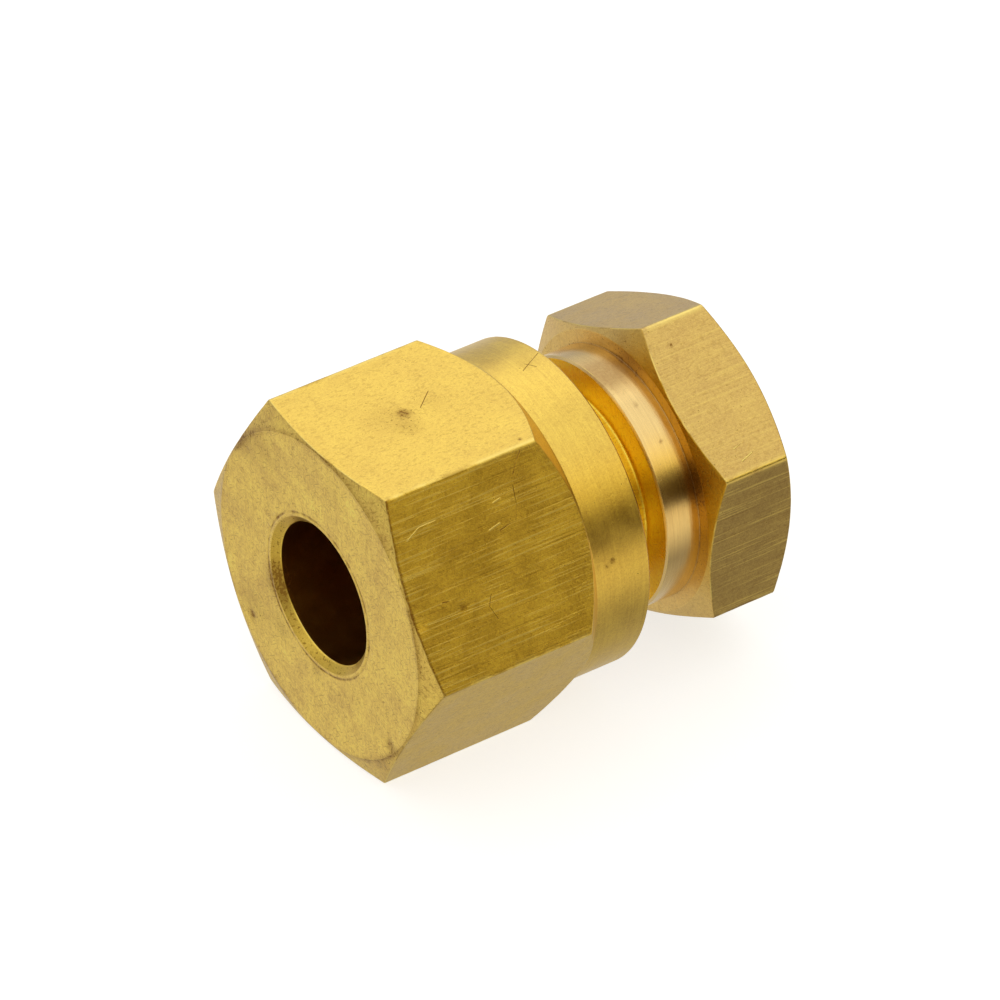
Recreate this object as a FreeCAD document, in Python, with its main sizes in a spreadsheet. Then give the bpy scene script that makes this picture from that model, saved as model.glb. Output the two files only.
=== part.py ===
"""Compression stop end for 8 mm copper tube: a hexagon nut, an olive and a blank-ended body.

The fitting's axis is X. The origin is the centre of the tube stop, the floor of the body's
socket: the tube enters from -X through the nut and the olive, and +X points to the blank
hexagon. Z is up and is square to the nut's top flat, so the fitting lies on a nut flat.
The nut is shown screwed on by hand, until the olive meets both of its seats.
"""
import FreeCAD, Part
import os

import Sketcher

# Driving dimensions in millimetres and degrees: alias, value, meaning.
SIZES = [
    ("tube_insertion", 16.0, "nut's front face to the tube stop"),
    ("socket_bore", 8.1, "body's socket for the 8 mm tube"),
    ("socket_depth", 6.6, "body's mouth to the tube stop"),
    ("olive_bore", 8.12, "olive's bore"),
    ("olive_outside", 10.4, "olive's barrel"),
    ("olive_end", 8.7, "olive's tapered ends, outside"),
    ("seat_gap", 0.04, "axial gap at each end of the olive"),
    ("seat_angle_nut", 45.0, "nut's cone from the axis"),
    ("seat_angle_body", 30.0, "body's cone from the axis"),
    ("mouth_bore", 10.2, "body's cone at the mouth"),
    ("thread_pitch", 1.337, "G 1/4, 19 threads to the inch"),
    ("thread_crest", 13.0, "body's thread over its crests"),
    ("thread_root", 11.44, "body's thread at its roots"),
    ("thread_half_angle", 27.5, "half of the 55 degree thread form"),
    ("root_flat", 0.2, "width of the flat at the root"),
    ("thread_play", 0.08, "clearance between the two threads, square to every face"),
    ("thread_end", 0.85, "last centre of the body's thread groove"),
    ("neck_width", 11.2, "plain neck between the thread and the collar"),
    ("neck_length", 1.2, "plain neck along the axis"),
    ("collar_start", 1.69, "tube stop to the body's collar"),
    ("collar_width", 14.8, "body's collar"),
    ("collar_length", 2.21, "collar along the axis"),
    ("edge_break", 0.12, "small turned chamfers"),
    ("body_flats", 16.75, "body's hexagon, for a 17 mm spanner"),
    ("body_hex_length", 5.5, "body's hexagon along the axis"),
    ("body_hex_turn", 34.2, "body's hexagon, turned against the nut's"),
    ("body_chamfer_circle", 16.4, "turned circle on the hexagon's end faces"),
    ("body_chamfer_angle", 27.0, "hexagon chamfer from the end face"),
    ("nut_flats", 19.0, "nut's hexagon"),
    ("nut_length", 15.15, "nut along the axis"),
    ("nut_chamfer_circle", 18.72, "turned circle on the nut's front face"),
    ("nut_chamfer_angle", 19.0, "front chamfer from the front face"),
    ("skirt_start", 11.6, "nut's front face to its round skirt"),
    ("skirt_width", 18.9, "nut's round skirt"),
    ("skirt_cone_angle", 46.0, "cone from the hexagon down to the skirt"),
    ("nut_bore", 8.22, "tube entry through the nut"),
    ("entry_width", 9.12, "countersink round the tube entry"),
    ("entry_depth", 0.4, "countersink along the axis"),
    ("nut_bore_end", 4.6, "nut's front face to its olive seat"),
    ("olive_room", 10.9, "bore round the olive"),
    ("relief_start", 7.4, "nut's front face to the thread relief"),
    ("relief_length", 1.5, "thread relief along the axis"),
    ("relief_width", 13.5, "thread relief"),
    ("nut_mouth", 13.8, "lead-in chamfer at the nut's mouth"),
]

doc = FreeCAD.newDocument("compression_stop_end")
sheet = doc.addObject("Spreadsheet::Sheet", "Sizes")
for row, (alias, value, meaning) in enumerate(SIZES, start=1):
    sheet.set("A%d" % row, meaning)
    sheet.set("B%d" % row, str(value))
    sheet.setAlias("B%d" % row, alias)
doc.recompute()


def size(alias):
    """Name of a sheet cell in an expression."""
    return "Sizes." + alias


def radius(alias):
    """Half of a diameter, or of a width across flats."""
    return "Sizes.%s / 2" % alias


def value_of(expression):
    """Number that an expression over the sheet's cells gives now."""
    return float(sheet.evalExpression(expression))


# Places along the axis, measured from the tube stop.
NUT_FRONT = "-Sizes.tube_insertion"
NUT_BACK = NUT_FRONT + " + Sizes.nut_length"
SKIRT = NUT_FRONT + " + Sizes.skirt_start"
NUT_SEAT = NUT_FRONT + " + Sizes.nut_bore_end"
RELIEF = NUT_FRONT + " + Sizes.relief_start"
RELIEF_END = RELIEF + " + Sizes.relief_length"
MOUTH = "-Sizes.socket_depth"
COLLAR = size("collar_start")
NECK = COLLAR + " - Sizes.neck_length"
HEX_FRONT = COLLAR + " + Sizes.collar_length"
HEX_BACK = HEX_FRONT + " + Sizes.body_hex_length"
PAST = "1"  # how far a cutting outline stands clear of the metal


def origin_feature(body, role):
    """A body's own origin plane or axis."""
    return next(item for item in body.Origin.OriginFeatures if item.Role == role)


def outline(body, name, plane, corners):
    """A closed sketch of straight lines whose corners are pairs of expressions."""
    sketch = body.newObject("Sketcher::SketchObject", name)
    sketch.AttachmentSupport = (origin_feature(body, plane), [""])
    sketch.MapMode = "FlatFace"
    places = [(value_of(across), value_of(up)) for across, up in corners]
    count = len(corners)
    for number in range(count):
        start = FreeCAD.Vector(*places[number], 0)
        end = FreeCAD.Vector(*places[(number + 1) % count], 0)
        sketch.addGeometry(Part.LineSegment(start, end), False)
    for number in range(count):
        sketch.addConstraint(Sketcher.Constraint("Coincident", number, 2, (number + 1) % count, 1))
    for number, (corner, place) in enumerate(zip(corners, places)):
        for kind, axis, expression, place_now in (
            ("DistanceX", -2, corner[0], place[0]),
            ("DistanceY", -1, corner[1], place[1]),
        ):
            if abs(place_now) < 1e-9:
                sketch.addConstraint(Sketcher.Constraint("PointOnObject", number, 1, axis))
                continue
            added = sketch.addConstraint(
                Sketcher.Constraint(kind, -1, 1, number, 1, place_now)
            )
            sketch.setExpression("Constraints[%d]" % added, expression)
    return sketch


def hexagon(body, name, flats, turn):
    """A hexagon square to the axis: its first corner is at angle turn from +Y towards +Z."""
    corners = []
    for number in range(6):
        angle = "%s + %d" % (turn, 60 * number)
        corners.append(
            (
                "Sizes.%s / sqrt(3) * cos(%s)" % (flats, angle),
                "Sizes.%s / sqrt(3) * sin(%s)" % (flats, angle),
            )
        )
    return outline(body, name, "YZ_Plane", corners)


def turn_up(body, name, corners):
    """Metal turned about X from a half section given as (place along X, radius)."""
    feature = body.newObject("PartDesign::Revolution", name)
    feature.Profile = outline(body, name + "_section", "XY_Plane", corners)
    feature.ReferenceAxis = (origin_feature(body, "X_Axis"), [""])
    feature.Angle = 360
    doc.recompute()
    return feature


def turn_away(body, name, corners):
    """Metal cut away by turning a half section about X."""
    before = body.Shape.Volume
    feature = body.newObject("PartDesign::Groove", name)
    feature.Profile = outline(body, name + "_section", "XY_Plane", corners)
    feature.ReferenceAxis = (origin_feature(body, "X_Axis"), [""])
    feature.Angle = 360
    doc.recompute()
    if body.Shape.Volume >= before - 1e-6:
        raise RuntimeError(name + " cuts nothing")
    return feature


def pad_hexagon(body, name, flats, turn, start, length):
    """A hexagon bar along X from start."""
    sketch = hexagon(body, name + "_section", flats, turn)
    sketch.setExpression("AttachmentOffset.Base.z", start)
    feature = body.newObject("PartDesign::Pad", name)
    feature.Profile = sketch
    feature.setExpression("Length", length)
    doc.recompute()
    return feature


def cut_thread(body, name, corners, length):
    """A right-handed groove swept about X from a section at its first turn."""
    before = body.Shape.Volume
    feature = body.newObject("PartDesign::SubtractiveHelix", name)
    feature.Profile = outline(body, name + "_section", "XY_Plane", corners)
    feature.ReferenceAxis = (origin_feature(body, "X_Axis"), [""])
    feature.Mode = "pitch-height-angle"
    feature.setExpression("Pitch", size("thread_pitch"))
    feature.setExpression("Height", length)
    feature.LeftHanded = False
    feature.Reversed = False
    doc.recompute()
    if body.Shape.Volume >= before - 1e-6:
        raise RuntimeError(name + " cuts nothing")
    return feature


FLANK = "tan(Sizes.thread_half_angle)"
THREAD_DEPTH = "(Sizes.thread_crest - Sizes.thread_root) / 2"
ROOT_HALF = "Sizes.root_flat / 2"
CREST_HALF = "(Sizes.thread_pitch / 2 - %s - %s * %s)" % (ROOT_HALF, THREAD_DEPTH, FLANK)
FLANK_PLAY = "Sizes.thread_play / cos(Sizes.thread_half_angle)"
THREAD_PAST = "0.05"  # the groove's section stands this far off the crests


def make_body():
    """Threaded spigot with the tube socket, collar and blank hexagon, in one turned piece."""
    body = doc.addObject("PartDesign::Body", "fitting_body")
    body.Label = "fitting_body"
    pad_hexagon(body, "body_hexagon", "body_flats", "90 + Sizes.body_hex_turn - 30",
                HEX_FRONT, size("body_hex_length"))
    corner = "(Sizes.body_flats / sqrt(3) + %s)" % PAST
    slope = "tan(Sizes.body_chamfer_angle)"
    drop = "(%s - Sizes.body_chamfer_circle / 2) * %s" % (corner, slope)
    turn_away(body, "body_front_chamfer", [
        (HEX_FRONT + " - " + PAST, radius("body_chamfer_circle")),
        (HEX_FRONT, radius("body_chamfer_circle")),
        (HEX_FRONT + " + " + drop, corner),
        (HEX_FRONT + " - " + PAST, corner),
    ])
    turn_away(body, "body_back_chamfer", [
        (HEX_BACK + " + " + PAST, radius("body_chamfer_circle")),
        (HEX_BACK, radius("body_chamfer_circle")),
        (HEX_BACK + " - (" + drop + ")", corner),
        (HEX_BACK + " + " + PAST, corner),
    ])
    lead = THREAD_DEPTH + " + 0.1"
    cone_end = "%s + (Sizes.mouth_bore - Sizes.socket_bore) / 2 / tan(Sizes.seat_angle_body)" % MOUTH
    turn_up(body, "body_spigot", [
        ("0", "0"),
        ("0", radius("socket_bore")),
        (cone_end, radius("socket_bore")),
        (MOUTH, radius("mouth_bore")),
        (MOUTH, "Sizes.thread_crest / 2 - (%s)" % lead),
        (MOUTH + " + " + lead, radius("thread_crest")),
        (NECK, radius("thread_crest")),
        (NECK, radius("neck_width")),
        (COLLAR, radius("neck_width")),
        (COLLAR, "Sizes.collar_width / 2 - Sizes.edge_break"),
        (COLLAR + " + Sizes.edge_break", radius("collar_width")),
        (HEX_FRONT, radius("collar_width")),
        (HEX_FRONT, "0"),
    ])
    top = "Sizes.thread_crest / 2 + " + THREAD_PAST
    top_half = "%s + (%s + %s) * %s" % (ROOT_HALF, THREAD_DEPTH, THREAD_PAST, FLANK)
    turns = "ceil((Sizes.thread_end + Sizes.socket_depth) / Sizes.thread_pitch + 0.5)"
    start = "Sizes.thread_end - %s * Sizes.thread_pitch" % turns
    cut_thread(body, "body_thread", [
        ("%s - (%s)" % (start, top_half), top),
        ("%s + %s" % (start, top_half), top),
        ("%s + %s" % (start, ROOT_HALF), radius("thread_root")),
        ("%s - %s" % (start, ROOT_HALF), radius("thread_root")),
    ], "%s * Sizes.thread_pitch" % turns)
    return body


def make_nut():
    """Hexagon nut with a round skirt, bored for the tube, the olive and the thread."""
    body = doc.addObject("PartDesign::Body", "compression_nut")
    body.Label = "compression_nut"
    pad_hexagon(body, "nut_hexagon", "nut_flats", "0", NUT_FRONT, size("nut_length"))
    corner = "(Sizes.nut_flats / sqrt(3) + %s)" % PAST
    drop = "(%s - Sizes.nut_chamfer_circle / 2) * tan(Sizes.nut_chamfer_angle)" % corner
    turn_away(body, "nut_front_chamfer", [
        (NUT_FRONT + " - " + PAST, radius("nut_chamfer_circle")),
        (NUT_FRONT, radius("nut_chamfer_circle")),
        (NUT_FRONT + " + " + drop, corner),
        (NUT_FRONT + " - " + PAST, corner),
    ])
    cone = "(%s - Sizes.skirt_width / 2) / tan(Sizes.skirt_cone_angle)" % corner
    turn_away(body, "nut_skirt", [
        (SKIRT + " - " + cone, corner),
        (SKIRT, radius("skirt_width")),
        (NUT_BACK + " - Sizes.edge_break", radius("skirt_width")),
        (NUT_BACK, "Sizes.skirt_width / 2 - Sizes.edge_break"),
        (NUT_BACK + " + " + PAST, "Sizes.skirt_width / 2 - Sizes.edge_break"),
        (NUT_BACK + " + " + PAST, corner),
    ])
    minor = "(Sizes.thread_root / 2 + Sizes.thread_play)"
    seat_end = "%s + (Sizes.olive_room - Sizes.nut_bore) / 2 / tan(Sizes.seat_angle_nut)" % NUT_SEAT
    turn_away(body, "nut_bores", [
        (NUT_FRONT + " - " + PAST, "0"),
        (NUT_FRONT + " - " + PAST, radius("entry_width")),
        (NUT_FRONT, radius("entry_width")),
        (NUT_FRONT + " + Sizes.entry_depth", radius("nut_bore")),
        (NUT_SEAT, radius("nut_bore")),
        (seat_end, radius("olive_room")),
        (RELIEF, radius("olive_room")),
        (RELIEF, radius("relief_width")),
        (RELIEF_END, radius("relief_width")),
        (RELIEF_END, minor),
        ("%s - (Sizes.nut_mouth / 2 - %s)" % (NUT_BACK, minor), minor),
        (NUT_BACK, radius("nut_mouth")),
        (NUT_BACK + " + " + PAST, radius("nut_mouth")),
        (NUT_BACK + " + " + PAST, "0"),
    ])
    root = "(Sizes.thread_crest / 2 + Sizes.thread_play)"
    root_half = "(%s + %s - Sizes.thread_play * %s)" % (CREST_HALF, FLANK_PLAY, FLANK)
    inner = "(%s - %s)" % (minor, THREAD_PAST)
    inner_half = "(%s + (%s - %s) * %s)" % (root_half, root, inner, FLANK)
    # The body's ridges lie half a pitch from its groove's centres, and the nut's groove
    # holds them, so the two threads are in mesh.
    back = "floor((Sizes.thread_end - (%s)) / Sizes.thread_pitch)" % RELIEF
    start = "Sizes.thread_end + (0.5 - %s) * Sizes.thread_pitch" % back
    turns = "ceil((%s + Sizes.thread_pitch - (%s)) / Sizes.thread_pitch)" % (NUT_BACK, start)
    cut_thread(body, "nut_thread", [
        ("%s - %s" % (start, inner_half), inner),
        ("%s + %s" % (start, inner_half), inner),
        ("%s + %s" % (start, root_half), root),
        ("%s - %s" % (start, root_half), root),
    ], "(%s) * Sizes.thread_pitch" % turns)
    return body


def make_olive():
    """Barrel ring with a taper at each end, between the nut's cone and the body's cone."""
    body = doc.addObject("PartDesign::Body", "olive")
    body.Label = "olive"
    rise = "(Sizes.olive_outside - Sizes.olive_end) / 2"
    front = "%s + (Sizes.olive_end - Sizes.nut_bore) / 2 / tan(Sizes.seat_angle_nut) + Sizes.seat_gap"
    front = front % NUT_SEAT
    back = "%s + (Sizes.mouth_bore - Sizes.olive_end) / 2 / tan(Sizes.seat_angle_body) - Sizes.seat_gap"
    back = back % MOUTH
    turn_up(body, "olive_ring", [
        (front, radius("olive_bore")),
        (front, radius("olive_end")),
        ("%s + %s / tan(Sizes.seat_angle_nut)" % (front, rise), radius("olive_outside")),
        ("%s - %s / tan(Sizes.seat_angle_body)" % (back, rise), radius("olive_outside")),
        (back, radius("olive_end")),
        (back, radius("olive_bore")),
    ])
    return body


pieces = [make_body(), make_nut(), make_olive()]
doc.recompute()

for item in doc.Objects:
    if "Invalid" in item.State or "Error" in item.State:
        raise RuntimeError("%s did not recompute: %s" % (item.Name, item.State))
os.makedirs("parts", exist_ok=True)
for piece in pieces:
    piece.Placement = FreeCAD.Placement()
    shape = piece.Shape
    if shape.isNull() or not shape.isValid() or len(shape.Solids) != 1:
        raise RuntimeError(piece.Label + " is not one valid solid")
    shape.exportStep("parts/%s.step" % piece.Label)
    box = shape.BoundBox
    print("%-16s %8.1f mm3  X %7.3f %7.3f  Y %7.3f %7.3f  Z %7.3f %7.3f" % (
        piece.Label, shape.Volume, box.XMin, box.XMax, box.YMin, box.YMax, box.ZMin, box.ZMax))
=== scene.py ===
"""Looks of a brass compression stop end: nut, olive and body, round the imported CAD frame.

Each piece is one closed skin, turned about X from a half section whose corners are rounded,
with hexagon flats, chamfer arcs, helical threads, burrs and knocks in the mesh itself. Sizes
are in millimetres, as on the drawing, and become metres when a mesh is made.
"""
import math

import bpy
import numpy as np
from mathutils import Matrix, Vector, noise


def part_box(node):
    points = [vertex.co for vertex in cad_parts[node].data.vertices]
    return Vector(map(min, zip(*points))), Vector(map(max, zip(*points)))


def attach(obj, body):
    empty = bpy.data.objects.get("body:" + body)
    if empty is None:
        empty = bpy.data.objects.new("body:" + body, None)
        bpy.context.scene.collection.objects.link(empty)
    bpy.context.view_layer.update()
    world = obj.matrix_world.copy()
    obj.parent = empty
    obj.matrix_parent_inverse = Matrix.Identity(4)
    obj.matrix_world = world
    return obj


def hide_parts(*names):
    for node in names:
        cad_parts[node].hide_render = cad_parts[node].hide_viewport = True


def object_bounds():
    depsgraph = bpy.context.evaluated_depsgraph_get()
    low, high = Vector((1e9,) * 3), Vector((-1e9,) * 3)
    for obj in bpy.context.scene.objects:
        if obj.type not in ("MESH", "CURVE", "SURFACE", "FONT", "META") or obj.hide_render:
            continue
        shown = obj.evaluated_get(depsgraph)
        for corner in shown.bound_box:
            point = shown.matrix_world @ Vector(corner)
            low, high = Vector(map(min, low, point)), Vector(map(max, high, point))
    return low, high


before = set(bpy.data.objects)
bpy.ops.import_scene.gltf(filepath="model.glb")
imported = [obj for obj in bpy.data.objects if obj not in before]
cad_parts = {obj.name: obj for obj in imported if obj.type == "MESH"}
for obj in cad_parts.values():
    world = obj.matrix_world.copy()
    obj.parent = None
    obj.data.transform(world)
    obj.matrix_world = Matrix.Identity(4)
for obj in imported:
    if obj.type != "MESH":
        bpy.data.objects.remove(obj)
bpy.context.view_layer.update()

MM = 0.001


def box_mm(node):
    """A CAD node's lowest and highest corners in millimetres."""
    low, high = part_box(node)
    return Vector(low) / MM, Vector(high) / MM


nut_low, nut_high = box_mm("compression_nut")
body_low, body_high = box_mm("fitting_body")
olive_low, olive_high = box_mm("olive")

# Places are along the axis, from the tube stop. Radii and half sizes are across it. Corners
# are the angles about X, in degrees, of each hexagon's first corner.
NUT_FRONT = nut_low.x
NUT_BACK = nut_high.x
NUT_INSIDE = nut_high.z
NUT_CORNER = 0.0
NUT_FACE_CIRCLE = 9.36
NUT_FACE_SLOPE = math.tan(math.radians(19))
NUT_EDGE = 0.16
SKIRT = NUT_FRONT + 11.6
SKIRT_RADIUS = 9.45
SKIRT_SLOPE = math.tan(math.radians(46))
NUT_BORE = 4.11
ENTRY_RADIUS = 4.56
ENTRY_DEPTH = 0.4
NUT_SEAT = NUT_FRONT + 4.6
OLIVE_ROOM = 5.45
RELIEF = NUT_FRONT + 7.4
RELIEF_END = RELIEF + 1.5
RELIEF_RADIUS = 6.75
NUT_MOUTH = 6.9

BODY_MOUTH = body_low.x
BODY_BACK = body_high.x
BODY_CORNER = 94.2
BODY_INSIDE = 8.375
BODY_FACE_CIRCLE = 8.2
BODY_FACE_SLOPE = math.tan(math.radians(27))
BODY_EDGE = 0.3
HEX_FRONT = BODY_BACK - 5.5
COLLAR = HEX_FRONT - 2.21
COLLAR_RADIUS = 7.4
NECK = COLLAR - 1.2
NECK_RADIUS = 5.6
SOCKET = 4.05
MOUTH_RADIUS = 5.1
SEAT_SLOPE = math.tan(math.radians(30))

# The thread: pitch, radii, half widths of its flats, clearance, last groove and run-out.
PITCH = 1.337
CREST = 6.5
ROOT = 5.72
ROOT_HALF = 0.1
FLANK_ANGLE = math.radians(27.5)
FLANK_SLOPE = math.tan(FLANK_ANGLE)
CREST_HALF = PITCH / 2 - ROOT_HALF - (CREST - ROOT) * FLANK_SLOPE
THREAD_PLAY = 0.08
THREAD_END = 0.85
THREAD_CREASE = 0.05
THREAD_LEAD = 0.1
RUN_OUT = 0.9

# The olive's radii.
OLIVE_BORE = 4.06
OLIVE_END = 4.35
OLIVE_OUTSIDE = 5.2

# Half of the angle that one side of a hexagon takes up.
HALF_SIDE = math.radians(30)

# Small turned chamfers, the bands of close rows beside the entry and the rim, and the radius
# of the innermost ring of a closed end.
BREAK = 0.12
LIP = 0.5
RIM = 0.5
INNERMOST = 0.15

# The burr round the tube entry: places outside the entry, widths and height.
RIDGE_OUT = 0.1
RIDGE_WIDTH = 0.06
GROOVE_OUT = 0.24
GROOVE_WIDTH = 0.08
BURR = 0.03

# Gentle waves in the skins: height, and scale of the noise that makes them.
SLOW_WAVE = 0.006
SLOW_SCALE = 0.55
NUT_QUICK_WAVE = 0.007
BODY_QUICK_WAVE = 0.006
QUICK_SCALE = 2.2

# How far wear reaches round the body's long edges, how far tarnish reaches from the
# nut's edges, and how far painted shade reaches from the collar's foot.
BODY_WEAR_WIDTH = 0.2
SIDE_EDGE_WIDTH = 0.2
FRONT_EDGE_WIDTH = 0.1
RIM_WIDTH = 0.2
COLLAR_ROOT_WIDTH = 0.1

# How strong the tarnish is in each place. At the countersink, the collar's foot and the hexagon's
# front it is painted shade instead.
GROOVE_SMUDGE = 1.4
RIM_SMUDGE = 0.7
COUNTERSINK_SHADE = 0.55
CHAMFER_SMUDGE = 0.32
FRONT_EDGE_SMUDGE = 1.7
SIDE_EDGE_SMUDGE = 0.6
COLLAR_ROOT_SHADE = 0.5
HEX_FRONT_SHADE = 0.35
GAP_TARNISH_AND_SHADE_SHARE = 0.15

# The middle of the shaded side of the body's hexagon face, as an angle about X.
SHADE_MIDDLE = math.radians(145)

# How strongly each hexagon side shows its drawn lines, from the first corner round.
NUT_SIDES = (0.8, 0.05, 1.0, 0.2, 0.8, 0.6)
BODY_SIDES = (0.3, 0.75, 0.6, 0.7, 0.6, 0.15)

# Tarnished places: middle, width and strength. Two on the body are painted shade and a darker
# place instead.
NUT_SMUDGES = (
    ((-10.2, 0.4, 9.5), 0.35, 1.1),
    ((-11.2, 0.6, 9.5), 1.6, 0.42),
    ((-10.6, -0.9, 9.5), 0.9, 0.4),
    ((-8.3, 0.4, 9.5), 0.9, 0.35),
    ((-6.45, -5.0, 9.5), 0.12, 1.5),
    ((-16.0, -6.8, -5.7), 0.45, 1.0),
    ((-16.0, 6.4, -5.3), 0.2, 1.2),
    ((-16.0, 7.4, 5.8), 1.2, 0.6),
    ((-7.4, -6.3, 8.0), 1.2, 0.5),
    ((-12.8, -8.9, 3.5), 0.25, 1.2),
    ((-3.2, -9.1, 2.6), 0.2, 1.2),
    ((-3.6, -9.1, 2.4), 0.15, 1.2),
    ((-2.0, 0.5, 9.4), 0.8, 0.45),
    ((-15.8, 4.0, -1.6), 1.1, 1.2),
    ((-16.0, 6.2, -4.6), 1.8, 0.5),
    ((-16.0, 3.4, -4.4), 1.1, 0.55),
    ((-16.0, 0.2, -5.2), 0.7, 0.6),
    ((-16.0, 5.2, 6.6), 1.6, 0.5),
    ((-16.0, -1.5, 7.6), 1.2, 0.35),
)
BODY_TARNISH_AND_SHADE = (
    ((3.9, -8.6, 3.6), 0.22, 1.8),
    ((3.9, -6.05, 6.4), 0.15, 1.6),
    ((5.7, -1.9, 8.8), 0.12, 1.5),
    ((2.9, -5.0, 5.5), 0.12, 1.5),
    ((2.65, -3.0, 6.8), 0.15, 0.9),
    # Painted shade: the collar's shadow on the hexagon's face.
    ((3.9, -7.0, 3.6), 1.3, 1.1),
    # Darker over the collar's upper left.
    ((2.4, -0.3, 7.4), 1.7, 1.4),
)
# Small knocks: middle, width and depth.
NUT_KNOCKS = (
    ((-12.8, -8.9, 3.5), 0.35, 0.05),
    ((-15.7, -8.9, 3.6), 0.3, 0.09),
    ((-16.0, 6.4, -5.3), 0.3, 0.04),
    ((-16.0, -6.8, -5.7), 0.4, 0.03),
)
# Scratches along lines from one place to the next, with half their width.
BRIGHT_SCRATCHES = (
    (((-14.9, -6.7, 7.4), (-14.0, -6.5, 7.8), (-12.95, -6.5, 7.8)), 0.045),
    (((-9.35, -6.6, 7.5), (-8.85, -6.6, 7.6)), 0.06),
    (((-10.0, -7.3, 6.4), (-9.3, -7.2, 6.5)), 0.06),
    (((-15.1, -9.0, 3.4), (-10.0, -9.1, 3.2), (-4.5, -9.2, 3.0)), 0.025),
    (((-6.2, -6.3, 8.3), (-5.9, -6.3, 8.4)), 0.05),
)
DARK_SCRATCHES = (
    (((-6.9, -5.6, 9.3), (-7.3, -5.8, 8.9), (-7.7, -6.1, 8.4)), 0.045),
    (((-13.9, -8.6, 4.1), (-13.4, -8.6, 4.0)), 0.06),
    (((-7.9, -6.4, 7.9), (-8.0, -6.9, 7.0), (-8.3, -7.3, 6.3)), 0.035),
    (((-9.4, -7.4, 6.2), (-8.7, -7.3, 6.3)), 0.045),
    (((-11.0, -8.9, 3.6), (-11.3, -9.2, 3.1), (-11.0, -9.6, 2.4)), 0.035),
    (((-2.7, 0.0, 9.45), (-1.1, 0.9, 9.4)), 0.03),
    (((-2.3, 0.5, 9.45), (-1.9, -0.1, 9.45)), 0.025),
    (((-9.2, 0.3, 9.5), (-8.0, 1.3, 9.5)), 0.03),
)
BODY_SCRATCHES = (
    (((6.1, -8.05, 4.65), (6.9, -7.85, 4.8)), 0.05),
    (((6.0, -7.4, 5.1), (6.5, -7.3, 5.2)), 0.04),
)


# --- meshes --------------------------------------------------------------------------------

COLUMNS_PER_SIDE = 60


def column_angles(first_corner):
    """Angles about X, crowded towards the six corners, in radians."""
    spread = np.linspace(-1, 1, COLUMNS_PER_SIDE + 1)[:-1]
    side = 30 * np.sign(spread) * np.abs(spread) ** 1.8
    sides = [first_corner + 60 * number + side for number in range(6)]
    return np.radians(np.concatenate(sides))


def corner_angle(angles, first_corner):
    """Angle between each column and the nearest corner, in radians."""
    turned = angles - math.radians(first_corner) + HALF_SIDE
    return np.abs(turned % (2 * HALF_SIDE) - HALF_SIDE)


def edge_distance(angles, first_corner, inside):
    """Distance round a hexagon from each column to the nearest corner."""
    return corner_angle(angles, first_corner) * inside / math.cos(HALF_SIDE)


def hexagon_radius(angles, first_corner, inside, rounding):
    """Radius of a hexagon with rounded corners at each column."""
    away = corner_angle(angles, first_corner)
    flat = inside / np.cos(HALF_SIDE - away)
    centre = (inside - rounding) / math.cos(HALF_SIDE)
    reach = np.sqrt(np.maximum(rounding ** 2 - (centre * np.sin(away)) ** 2, 0))
    edge = math.atan2(rounding * math.sin(HALF_SIDE), centre + rounding * math.cos(HALF_SIDE))
    return np.where(away < edge, centre * np.cos(away) + reach, flat)


class Corner:
    """One corner of a half section: place, radius, rounding, and the run that follows it.

    finish says how strongly the run shows each of FINISHES, from 0 to 1.
    """

    def __init__(self, place, radius, rounding=0.05, rows=4, worn=1.0, **finish):
        self.place = place
        self.radius = radius
        self.rounding = rounding
        self.rows = rows
        self.worn = worn
        self.finish = finish


# The finish for recesses paints the amber of light bounced between brass faces, and the shaded
# finish paints shade on the body's hexagon face.
FINISHES = ("drawn", "turned", "inside", "painted_bounce_and_shade", "polish_and_highlight", "scuffed", "shaded")
ARC_ROWS = 4
LONGEST_ARC = 0.45


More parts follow.
